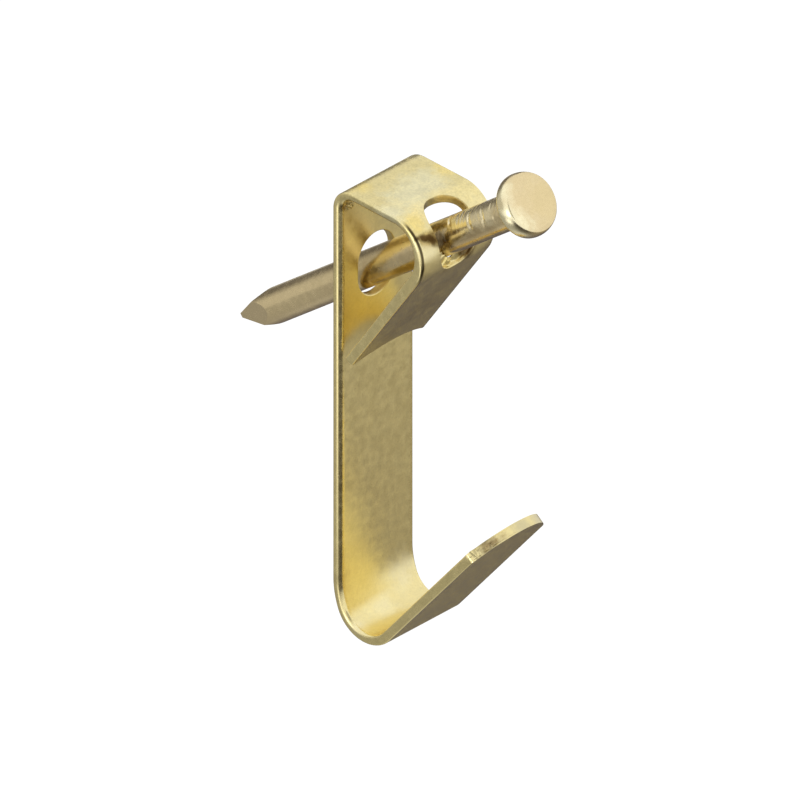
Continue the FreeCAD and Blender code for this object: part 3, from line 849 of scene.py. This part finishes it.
class HOOK_OT_strip(bpy.types.Operator):
    """Cuts the flat blank, rounds its edges and folds it into the hook"""

    bl_idname = "picture_hook.strip"
    bl_label = "Folded strip"

    def execute(self, context):
        sizes = context.scene.hook_strip
        folded = FoldedSheet(sizes)
        strip = add_block(
            "folded_strip",
            (0, (folded.top + folded.foot) / 2, 0),
            (sizes.width, folded.top - folded.foot, sizes.sheet),
        )
        self.roll_edges(strip, sizes)
        self.crown_lip(strip, sizes, folded)
        self.hollow_leg(strip, sizes, folded)
        self.punch_slots(strip, sizes, folded)
        divide_across(strip, folded.cut_lines())
        self.tuck_edges(strip, sizes, folded)
        folded.fold(strip)
        edit(strip)
        bpy.ops.mesh.remove_doubles(threshold=WELD)
        bpy.ops.mesh.normals_make_consistent(inside=False)
        leave_edit()
        smooth(strip)
        dress(strip, strip_brass(context.scene.hook_brass))
        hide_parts("hook_strip")
        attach(strip, "root")
        return {"FINISHED"}

    def long_edge(self, sizes, aside, side):
        """A test for the blank's long edge on one side and one face."""
        def on_edge(place):
            out = side * place.z > CORNER_SHARE * sizes.sheet
            return out and aside * place.x > CORNER_SHARE * sizes.width

        return lambda first, last: on_edge(first) and on_edge(last) and abs(first.y - last.y) > WELD

    def roll_edges(self, strip, sizes):
        """Rounds the blank's long edges."""
        for aside, side, width, segments in (
            (-1, 1, sizes.inner_round, 10),
            (-1, -1, sizes.outer_round, 6),
            (1, 1, sizes.corner_round, 4),
            (1, -1, sizes.corner_round, 4),
        ):
            bevel_edges(strip, width, segments, self.long_edge(sizes, aside, side))

    def crown_lip(self, strip, sizes, folded):
        """Cuts the lip's end round."""
        deep = TOOL_SHEETS * sizes.sheet
        sag = sizes.lip_crown - math.sqrt(sizes.lip_crown ** 2 - (sizes.width / 2) ** 2)
        extent = (2 * sizes.width, 2 * (sag + WASTE_SPARE), deep)
        waste = add_block("waste", (0, folded.foot, 0), extent)
        centre = (0, folded.foot + sizes.lip_crown, 0)
        combine(waste, add_drum("crown", centre, sizes.lip_crown, 2 * deep, CROWN_SIDES), "DIFFERENCE")
        combine(strip, waste, "DIFFERENCE")

    def hollow_leg(self, strip, sizes, folded):
        """Cuts the hollow into the leg's end and leaves a horn on each side."""
        chord = sizes.width / 2 - sizes.horn_width
        radius = (chord ** 2 + sizes.hollow_depth ** 2) / (2 * sizes.hollow_depth)
        centre = (0, folded.top - sizes.hollow_depth + radius, 0)
        hollow = add_drum("hollow", centre, radius, TOOL_SHEETS * sizes.sheet, HOLLOW_SIDES)
        combine(strip, hollow, "DIFFERENCE")

    def slot_rim(self, sizes, foot, top):
        """A test for the rim of one slot."""
        def on_rim(place):
            beside = abs(place.x) < sizes.slot_width / 2 + WELD
            return beside and foot - WELD < place.y < top + WELD

        return lambda first, last: on_rim(first) and on_rim(last) and abs(first.z - last.z) < WELD

    def punch_slots(self, strip, sizes, folded):
        """Cuts the two slots for the nail and rounds their rims."""
        for foot, top in (
            (-sizes.plate_slot_foot, sizes.plate_slot_top),
            (folded.slot_top, folded.slot_foot),
        ):
            slot = add_slot("slot", foot, top, sizes.slot_width, TOOL_SHEETS * sizes.sheet)
            combine(strip, slot, "DIFFERENCE")
            bevel_edges(strip, sizes.slot_round, 3, self.slot_rim(sizes, foot, top))

    def tuck_edges(self, strip, sizes, folded):
        """Fits the rolled left edges to the bends, crisp on the lip and wide over the nail."""
        bend, leg = folded.front_bend.begin, folded.leg.begin
        cradle, lip = -folded.cradle.begin, -folded.lip.begin
        half = sizes.width / 2
        skin = sizes.sheet / 2
        for vertex in strip.data.vertices:
            along = vertex.co.y
            past = (along - bend) / (leg - bend)
            left = (leg - along) / (leg - bend)
            crisp = max(ease(past), ease((cradle - along) / (cradle - lip)))
            over_nail = ease(past * 2) * ease(left * 2)
            swell = ease(past * 1.5) * ease((folded.top - along) / SWELL_END)
            inner = sizes.inner_round + (sizes.corner_round - sizes.inner_round) * crisp
            outer = sizes.corner_round + (sizes.bend_round - sizes.corner_round) * over_nail
            for side, width, drawn in ((1, sizes.inner_round, inner), (-1, sizes.outer_round, outer)):
                aside = vertex.co.x + half
                below = skin - side * vertex.co.z
                if max(aside, below) < width + WELD:
                    share = drawn / width
                    vertex.co.x = aside * share - half
                    vertex.co.z = side * (skin - below * share)
                    if side > 0:
                        vertex.co.z += sizes.edge_swell * swell


def torn_metal(title, cuts, spot):
    """A patch of rough metal: a finely divided block, each point of which is put in its spot."""
    deselect_all()
    bpy.ops.mesh.primitive_cube_add(size=1.0)
    piece = name_new(title)
    edit(piece)
    bpy.ops.mesh.subdivide(number_cuts=cuts)
    leave_edit()
    for vertex in piece.data.vertices:
        vertex.co = spot(vertex.co.x + 0.5, vertex.co.y + 0.5, vertex.co.z + 0.5)
    piece.data.update()
    edit(piece)
    bpy.ops.mesh.normals_make_consistent(inside=False)
    leave_edit()
    make_active(piece)
    bpy.ops.object.shade_smooth()
    return piece


def frame_fade(along, across, margin):
    """Falls to nothing along the border of a patch."""
    return ease(min(along, 1 - along) / margin) * ease(min(across, 1 - across) / margin)


def window(value, start, rise, end, fall):
    """Rises to 1 past the start and falls to nothing before the end."""
    return ease((value - start) / rise) * ease((end - value) / fall)


def ripple(along, across, layer):
    """Smooth random bumps, the same each time."""
    return noise.noise(Vector((along, across, layer)))


# Torn metal: how deep its root lies in the sheet, and how far its border sinks in.
BURR_ROOT = 0.12 * MM
SLOT_SINK = 0.05 * MM
LIP_SINK = 0.03 * MM

# The burr in the slot: its arc in degrees, its share of the sheet, its bumps, how far it may reach,
# in which steps that is found, and how near it comes to the nail.
SLOT_ARC_START = 28
SLOT_ARC = 146
SLOT_SHARE = 0.86
SLOT_BUMPS = 0.12 * MM
SLOT_REACH = 0.9 * MM
SLOT_STEP = 0.04 * MM
NAIL_CLEAR = 0.03 * MM

# The marks on the lip's end: their arc in degrees and their share of the sheet.
LIP_ARC_START = -65
LIP_ARC = 62
LIP_SHARE = 0.8

# The wrinkle in the top bend: its width, and its part of the bend's run.
WRINKLE_WIDTH = 1.1 * MM
WRINKLE_START = 0.2
WRINKLE_RUN = 0.65


class HOOK_OT_burrs(bpy.types.Operator):
    """Adds the torn metal in the front slot and the rough spots of the lip's end and the top bend"""

    bl_idname = "picture_hook.burrs"
    bl_label = "Burrs"

    def execute(self, context):
        sizes = context.scene.hook_strip
        folded = FoldedSheet(sizes)
        for piece in (
            self.slot_burr(sizes, context.scene.hook_nail, folded),
            self.lip_burr(sizes, folded),
            self.bend_wrinkle(sizes, folded),
        ):
            folded.fold(piece)
            dress(piece, strip_brass(context.scene.hook_brass))
            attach(piece, "root")
        return {"FINISHED"}

    def slot_burr(self, sizes, nail, folded):
        """Metal torn up at the foot of the front slot, as far as the nail leaves room."""
        radius = sizes.slot_width / 2
        middle = folded.slot_foot - radius
        axis = Vector((0, -math.cos(nail.slant), math.sin(nail.slant)))
        nearest = nail.diameter / 2 + NAIL_CLEAR

        def room_at(rest, outward):
            room = 0.0
            while room < SLOT_REACH:
                ahead = folded.place(rest + outward * (radius - room - SLOT_STEP))
                if ahead.cross(axis).length <= nearest:
                    break
                room += SLOT_STEP
            return room

        def spot(along, across, raised):
            swing = math.radians(SLOT_ARC_START + SLOT_ARC * along)
            rest = Vector((0, middle, (across - 0.5) * SLOT_SHARE * sizes.sheet))
            outward = Vector((math.cos(swing), math.sin(swing), 0))
            rough = ripple(along * 9, across * 2.6, 3.1)
            notch = window(along, 0.36, 0.05, 0.47, 0.05)
            filled = min(0.97, 0.95 + 0.3 * rough - 0.5 * notch)
            rise = ease((across - 0.35 + 0.25 * rough) / 0.5) * filled
            lift = room_at(rest, outward) * rise + SLOT_BUMPS * max(0.0, rough)
            fade = ease(min(along, 1 - along) / 0.08) * ease(across / 0.15)
            lift = lift * fade - SLOT_SINK * (1 - fade)
            return rest + outward * (radius - (raised * (BURR_ROOT + lift) - BURR_ROOT))

        return torn_metal("slot_burr", BURR_CUTS, spot)

    def lip_burr(self, sizes, folded):
        """A torn corner and a dent on the lip's crowned end."""
        middle = folded.foot + sizes.lip_crown

        def spot(along, across, raised):
            swing = math.radians(LIP_ARC_START + LIP_ARC * along)
            level = (across - 0.5) * LIP_SHARE * sizes.sheet
            rough = ripple(along * 13, across * 2.2, 5.7)
            ridge = 1 - abs(ripple(along * 20, across * 2, 2.9))
            corner = ease((0.17 - along) / 0.08)
            dent = window(along, 0.18, 0.08, 0.66, 0.14) * ease((0.85 - across) / 0.4)
            lift = (0.03 + 0.03 * rough + 0.16 * corner * ridge ** 3 + 0.2 * dent * rough) * MM
            fade = frame_fade(along, across, 0.1)
            lift = lift * fade - LIP_SINK * (1 - fade)
            reach = sizes.lip_crown - BURR_ROOT + raised * (BURR_ROOT + lift)
            return Vector((reach * math.sin(swing), middle - reach * math.cos(swing), level))

        return torn_metal("lip_burr", BURR_CUTS, spot)

    def bend_wrinkle(self, sizes, folded):
        """A small wrinkle inside the top bend, beside the rolled edge."""
        bend = folded.top_bend
        side = sizes.width / 2 - sizes.inner_round

        def spot(along, across, raised):
            ridge = 1 - abs(ripple(along * 8, across * 7, 1.3))
            fade = frame_fade(along, across, 0.25)
            lift = (0.19 * ridge ** 4 * fade - 0.04 * (1 - fade)) * MM
            level = sizes.sheet / 2 - BURR_ROOT + raised * (BURR_ROOT + lift)
            around = bend.begin + bend.run * (WRINKLE_RUN * across - WRINKLE_START)
            return Vector((-side + WRINKLE_WIDTH * along, around, level))

        return torn_metal("bend_wrinkle", WRINKLE_CUTS, spot)


# The nail's rings: the first above the point in point lengths, the steps of the neck and the head's rim,
# the rim's widest level in head thicknesses, and how the rim curves in below and above that level.
POINT_ROOM = 1.5
NECK_STEPS = 4
UNDER_STEPS = 5
RIM_STEPS = 8
RIM_LEVEL = 0.3
RIM_UNDERCUT = 0.6
RIM_CURVE = 2.3

# Rings on the head's face, in shares of its radius.
FACE_RINGS = (0.12, 0.3, 0.3)

# Edges this near the tip are rounded, and the point's are creased from here to this many point lengths.
TIP_BAND = 0.01 * MM
CREASE_START = 0.3 * MM
CREASE_END = 1.05

# The gripper marks, counted in pitches from the first: how far the shank is ringed for them,
# with how many rings each, and between which they are pressed.
GRIP_RUN = 16.5
GRIP_RINGS = 4
GRIP_FIRST = 0.2
GRIP_LAST = 16.2

# Where the marks lie around the shank and how far they sway, in degrees, how far their lines waver,
# the faintest of them, and the rates at which they change from one to the next.
GRIP_SIDE = 138
GRIP_SWAY = 22
GRIP_WAVER = 0.22
GRIP_FAINTEST = 0.15
SWAY_RATE = 1.9
WAVER_RATE = 0.8
STRENGTH_RATE = 2.4
STRENGTH_START = 0.7


class HOOK_OT_nail(bpy.types.Operator):
    """Draws the nail ring by ring, cuts its point and marks its neck"""

    bl_idname = "picture_hook.nail"
    bl_label = "Nail"

    def rings(self, sizes):
        """Level and radius of each ring from the tip to the head's face."""
        shank = sizes.diameter / 2
        head = sizes.head_diameter / 2
        under = sizes.standoff - sizes.head_thickness
        neck = under - sizes.neck_length
        rings = [(-sizes.behind, shank), (-sizes.behind + POINT_ROOM * sizes.point_length, shank)]
        level = neck - GRIP_RUN * sizes.grip_pitch
        while level < neck - GRIP_FIRST * sizes.grip_pitch:
            rings.append((level, shank))
            level += sizes.grip_pitch / GRIP_RINGS
        rings.append((neck, shank))
        for step in range(1, NECK_STEPS + 1):
            share = step / NECK_STEPS
            rings.append((
                under - sizes.neck_length * (1 - share),
                shank + sizes.neck_width * share ** 2,
            ))
        widest = under + RIM_LEVEL * sizes.head_thickness
        shoulder = sizes.standoff - sizes.face_edge / 2
        for step in range(UNDER_STEPS + 1):
            swing = math.radians(90 / UNDER_STEPS * step)
            rings.append((
                widest - (widest - under) * math.cos(swing),
                head - RIM_UNDERCUT * sizes.rim_swell * (1 - math.sin(swing)),
            ))
        for step in range(1, RIM_STEPS + 1):
            share = step / RIM_STEPS
            rings.append((
                widest + (shoulder - widest) * share,
                head - sizes.rim_swell * share ** RIM_CURVE,
            ))
        rings.append((sizes.standoff, head - sizes.rim_swell - sizes.face_edge))
        return rings

    def execute(self, context):
        sizes = context.scene.hook_nail
        rings = self.rings(sizes)
        level, radius = rings[0]
        deselect_all()
        bpy.ops.mesh.primitive_circle_add(
            vertices=NAIL_SIDES, radius=radius, fill_type="NGON", location=(0, 0, level)
        )
        nail = settle(name_new("drawn_nail"))
        edit(nail)
        for next_level, next_radius in rings[1:]:
            rise = (0, 0, next_level - level)
            bpy.ops.mesh.extrude_region_move(TRANSFORM_OT_translate={"value": rise})
            scale = next_radius / radius
            if next_radius != radius:
                bpy.ops.transform.resize(value=(scale, scale, 1), center_override=(0, 0, next_level))
            level, radius = next_level, next_radius
        self.inset_face(sizes)
        self.cut_point(sizes)
        bpy.ops.mesh.select_all(action="SELECT")
        bpy.ops.mesh.remove_doubles(threshold=WELD)
        bpy.ops.mesh.normals_make_consistent(inside=False)
        leave_edit()
        tip = TIP_BAND - sizes.behind
        bevel_edges(nail, sizes.tip_round, 4, lambda first, last: max(first.z, last.z) < tip)
        self.crease_point(nail, sizes)
        self.press_grips(nail, sizes)
        round_edges(nail, sizes.edge_round, 3)
        nail.data.transform(Matrix.Rotation(math.pi / 2 - sizes.slant, 4, "X"))
        smooth(nail)
        dress(nail, nail_brass(context.scene.hook_brass, sizes.slant))
        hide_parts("nail")
        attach(nail, "root")
        return {"FINISHED"}

    def inset_face(self, sizes):
        """Rings on the head's flat face."""
        for share in FACE_RINGS:
            bpy.ops.mesh.inset(thickness=share * sizes.head_diameter / 2)

    def cut_point(self, sizes):
        """Cuts the flats of the point with planes."""
        shank = sizes.diameter / 2
        tip = -sizes.behind
        for side, sideways, lift, run in (
            (1, False, sizes.point_lift, sizes.point_length),
            (-1, False, sizes.point_lift, sizes.heel_length),
            (1, True, 0.0, sizes.point_length),
            (-1, True, 0.0, sizes.point_length),
        ):
            near = side * sizes.point_flat / 2 + lift
            rise = Vector((side * run, -(shank - side * near))).normalized()
            normal = (rise.x, 0, rise.y) if sideways else (0, rise.x, rise.y)
            spot = (near, 0, tip) if sideways else (0, near, tip)
            bpy.ops.mesh.select_all(action="SELECT")
            bpy.ops.mesh.bisect(
                plane_co=spot, plane_no=normal, use_fill=True, clear_outer=True, threshold=WELD
            )

    def crease_point(self, nail, sizes):
        """Marks the borders of the point's flats, so that they stay crisp."""
        start = CREASE_START - sizes.behind
        end = CREASE_END * sizes.point_length - sizes.behind

        def on_border(edge):
            reach = max(vertex.co.z for vertex in edge.verts)
            return start < reach < end and edge.calc_face_angle(0.0) > CREASED_ABOVE

        pick_edges(nail, on_border)
        bpy.ops.mesh.mark_sharp()
        leave_edit()

    def press_grips(self, nail, sizes):
        """Shallow marks across the shank below the head, deepest on two opposite sides."""
        under = sizes.standoff - sizes.head_thickness - sizes.neck_length
        first = under - GRIP_RUN * sizes.grip_pitch
        for vertex in nail.data.vertices:
            along = (vertex.co.z - first) / sizes.grip_pitch
            if not GRIP_FIRST < along < GRIP_LAST:
                continue
            turn = math.atan2(vertex.co.y, vertex.co.x)
            along += GRIP_WAVER * math.sin(3 * turn + WAVER_RATE * round(along))
            mark = round(along)
            middle = math.radians(GRIP_SIDE + GRIP_SWAY * math.sin(mark * SWAY_RATE))
            side = max(0.0, math.cos(2 * (turn - middle)))
            strength = max(GRIP_FAINTEST, 0.5 + 0.5 * math.sin(mark * STRENGTH_RATE + STRENGTH_START))
            wave = max(0.0, math.cos(2 * math.pi * (along - mark)))
            depth = sizes.grip_depth * strength * wave * side
            shrink = 1 - depth / (sizes.diameter / 2)
            vertex.co.x *= shrink
            vertex.co.y *= shrink
        nail.data.update()


# Tones of the studio, which the metal reflects. The board's are named as seen from the front.
WHITE = (1, 1, 1, 1)
FLOOR_GREY = (0.25, 0.25, 0.25, 1)
FLOOR_GLOW = 0.92
FRONT_LEFT = (0.07, 0.06, 0.05, 1)
FRONT_RIGHT = (0.37, 0.34, 0.285, 1)
BACK_LEFT = (0.37, 0.36, 0.335, 1)
BACK_RIGHT = (0.135, 0.12, 0.128, 1)
UNDER_HOOK = (0.6, 0.59, 0.56, 1)
LEFT_GLOW = (1.7, 1.67, 1.64, 1)
BACKDROP_GREY = (0.54, 0.525, 0.49, 1)
BACKDROP_DARK = (0.16, 0.15, 0.14, 1)
CARD_GREY = (0.42, 0.41, 0.39, 1)

# Sizes and distances of the studio.
FLOOR_SIDE = 4.0
BOARD_SIDE = 2.0
BOARD_RISE = 5 * MM
BACKDROP_AWAY = 0.35
BACKDROP_RIGHT = 0.1
BACKDROP_WIDE = 1.4
BACKDROP_TALL = 0.20
BACKDROP_FADE = (-0.14, 0.08)
CARD_AWAY = 0.5
CARD_RADIUS = 0.19
CAMERA_AWAY = 0.3
CAMERA_REACH = 10.0


class HOOK_OT_stage(bpy.types.Operator):
    """Sets up the floor, the lights and the camera"""

    bl_idname = "picture_hook.stage"
    bl_label = "Studio"

    def execute(self, context):
        look = context.scene.hook_stage
        self.floor(look)
        self.board(look)
        self.backdrop(look)
        self.dim_side(look)
        self.world(context, look)
        self.lamps(context)
        self.camera(context, look)
        return {"FINISHED"}

    def seen(self, make):
        """1 for rays from the camera, from gloss or through glass."""
        path = make.add("LightPath", {})
        either = make.math("MAXIMUM", path["Is Camera Ray"], path["Is Glossy Ray"])
        return make.math("MAXIMUM", either, path["Is Transmission Ray"])

    def floor(self, look):
        deselect_all()
        bpy.ops.mesh.primitive_plane_add(size=FLOOR_SIDE, location=(0, 0, -look.floor_drop))
        floor = settle(name_new("floor"))
        material, make, shader = new_material("floor_white")
        make.nodes.remove(shader)
        matt = make.add("BsdfDiffuse", {"Color": FLOOR_GREY})["BSDF"]
        strength = make.math("MULTIPLY", self.seen(make), FLOOR_GLOW)
        glow = make.add("Emission", {"Strength": strength})["Emission"]
        make.surface(make.add("AddShader", {0: matt, 1: glow})["Shader"])
        floor.data.materials.append(material)

    def board(self, look):
        """A board under the hook, in greys that only the metal's reflections show."""
        reach = look.floor_drop
        deselect_all()
        bpy.ops.mesh.primitive_plane_add(size=BOARD_SIDE, location=(0, 0, BOARD_RISE - reach))
        board = settle(name_new("grey_board"))
        material, make, tone = glowing("board_greys")
        where = make.place()
        aside, depth = make.part(where, "X"), make.part(where, "Y")
        flat = make.vector("MULTIPLY", where, (1, 1, 0))

        def pool(right, back, core, edge):
            """A round pool of another tone on the board."""
            away = make.vector("DISTANCE", flat, (right * reach, back * reach, 0), "Value")
            return make.spread(away, core * reach, edge * reach, 1.0, 0.0)

        front_row = make.blend(make.spread(aside, -0.5 * reach, 0.7 * reach), FRONT_LEFT, FRONT_RIGHT)
        back_row = make.blend(make.spread(aside, -0.6 * reach, 0.8 * reach), BACK_LEFT, BACK_RIGHT)
        greys = make.blend(make.spread(depth, -0.8 * reach, 0.1 * reach), front_row, back_row)
        greys = make.blend(pool(-0.15, -0.05, 0.1, 0.5), greys, UNDER_HOOK)
        greys = make.blend(pool(-1.82, 0.1, 0.15, 0.75), greys, LEFT_GLOW)
        away = make.vector("LENGTH", flat, output="Value")
        behind = make.spread(make.math("DIVIDE", depth, away), 0.45, 0.7)
        far_tone = make.blend(behind, WHITE, BACKDROP_GREY)
        make.feed(tone, make.blend(make.spread(away, 2.1 * reach, 3.3 * reach), greys, far_tone))
        self.only_in_gloss(board, material)

    def only_in_gloss(self, card, material):
        """Dresses a card of the studio that shows only in reflections."""
        card.data.materials.append(material)
        card.visible_camera = False
        card.visible_diffuse = False
        card.visible_shadow = False
        card.visible_transmission = False

    def backdrop(self, look):
        """A grey wall behind the hook, low enough that the top tab still shines white."""
        deselect_all()
        bpy.ops.mesh.primitive_plane_add(
            size=1.0,
            location=(BACKDROP_RIGHT, BACKDROP_AWAY, BACKDROP_TALL / 2 - look.floor_drop),
            rotation=(math.pi / 2, 0, 0),
        )
        wall = name_new("backdrop")
        wall.scale = (BACKDROP_WIDE, BACKDROP_TALL, 1)
        settle(wall)
        material, make, tone = glowing("backdrop_grey")
        dim = make.spread(make.part(make.place(), "X"), *BACKDROP_FADE)
        make.feed(tone, make.blend(dim, BACKDROP_GREY, BACKDROP_DARK))
        self.only_in_gloss(wall, material)

    def dim_side(self, look):
        """A dim card on the camera's side, where no lamp stands."""
        towards = self.towards_camera(look)
        deselect_all()
        bpy.ops.mesh.primitive_circle_add(
            vertices=CARD_SIDES, radius=CARD_RADIUS, fill_type="NGON", location=towards * CARD_AWAY,
            rotation=towards.to_track_quat("Z", "Y").to_euler(),
        )
        card = settle(name_new("dim_card"))
        material, make, tone = glowing("dim_grey")
        make.feed(tone, CARD_GREY)
        self.only_in_gloss(card, material)

    def towards_camera(self, look):
        return Vector((
            -math.sin(look.turn) * math.cos(look.rise),
            -math.cos(look.turn) * math.cos(look.rise),
            math.sin(look.rise),
        ))

    def world(self, context, look):
        world = bpy.data.worlds.new("white_room")
        context.scene.world = world
        world.use_nodes = True
        make = NodeSet(world.node_tree)
        even = make.nodes["Background"]
        make.feed(even.inputs["Color"], WHITE)
        make.feed(even.inputs["Strength"], look.ambient)
        white = make.add("Background", {"Color": WHITE, "Strength": 1.0})["Background"]
        lights = {"Fac": self.seen(make), 1: even.outputs["Background"], 2: white}
        make.surface(make.add("MixShader", lights)["Shader"])

    def lamps(self, context):
        for title, place, side, power in (
            ("front_softbox", (0.26, -0.26, 0.20), 0.16, 0.004),
            ("left_softbox", (-0.40, 0.02, -0.02), 0.13, 0.10),
            ("top_softbox", (0.05, -0.10, 0.42), 0.20, 0.010),
        ):
            data = bpy.data.lights.new(title, "AREA")
            data.shape = "SQUARE"
            data.size = side
            data.energy = power
            lamp = bpy.data.objects.new(title, data)
            context.scene.collection.objects.link(lamp)
            lamp.location = place
            lamp.rotation_euler = Vector(place).to_track_quat("Z", "Y").to_euler()

    def camera(self, context, look):
        towards = self.towards_camera(look)
        right = Vector((math.cos(look.turn), -math.sin(look.turn), 0.0))
        up = towards.cross(right)
        data = bpy.data.cameras.new("camera")
        data.type = "ORTHO"
        data.ortho_scale = look.view_width
        data.clip_start = MM
        data.clip_end = CAMERA_REACH
        camera = bpy.data.objects.new("camera", data)
        context.scene.collection.objects.link(camera)
        camera.location = right * look.right - up * look.down + towards * CAMERA_AWAY
        camera.rotation_euler = towards.to_track_quat("Z", "Y").to_euler()
        context.scene.camera = camera
        context.scene.view_settings.view_transform = "Standard"


class HOOK_PT_panel(bpy.types.Panel):
    """Lists the hook's pieces and their sizes"""

    bl_idname = "HOOK_PT_panel"
    bl_label = "Picture hook"
    bl_space_type = "VIEW_3D"
    bl_region_type = "UI"
    bl_category = "Picture hook"

    def draw(self, context):
        for operator in OPERATORS:
            self.layout.operator(operator.bl_idname)
        for title in SETTINGS:
            box = self.layout.box()
            settings = getattr(context.scene, title)
            for setting in settings.bl_rna.properties:
                if setting.identifier not in ("name", "rna_type"):
                    box.prop(settings, setting.identifier)


SETTINGS = {
    "hook_strip": StripSizes,
    "hook_nail": NailSizes,
    "hook_brass": BrassLook,
    "hook_stage": StageLook,
}
OPERATORS = (HOOK_OT_strip, HOOK_OT_burrs, HOOK_OT_nail, HOOK_OT_stage)


def register():
    for title, group in SETTINGS.items():
        bpy.utils.register_class(group)
        setattr(bpy.types.Scene, title, bpy.props.PointerProperty(type=group))
    for operator in OPERATORS:
        bpy.utils.register_class(operator)
    bpy.utils.register_class(HOOK_PT_panel)


def unregister():
    bpy.utils.unregister_class(HOOK_PT_panel)
    for operator in reversed(OPERATORS):
        bpy.utils.unregister_class(operator)
    for title, group in SETTINGS.items():
        delattr(bpy.types.Scene, title)
        bpy.utils.unregister_class(group)


def main():
    register()
    bpy.ops.picture_hook.strip()
    bpy.ops.picture_hook.burrs()
    bpy.ops.picture_hook.nail()
    bpy.ops.picture_hook.stage()


if __name__ == "__main__":
    main()
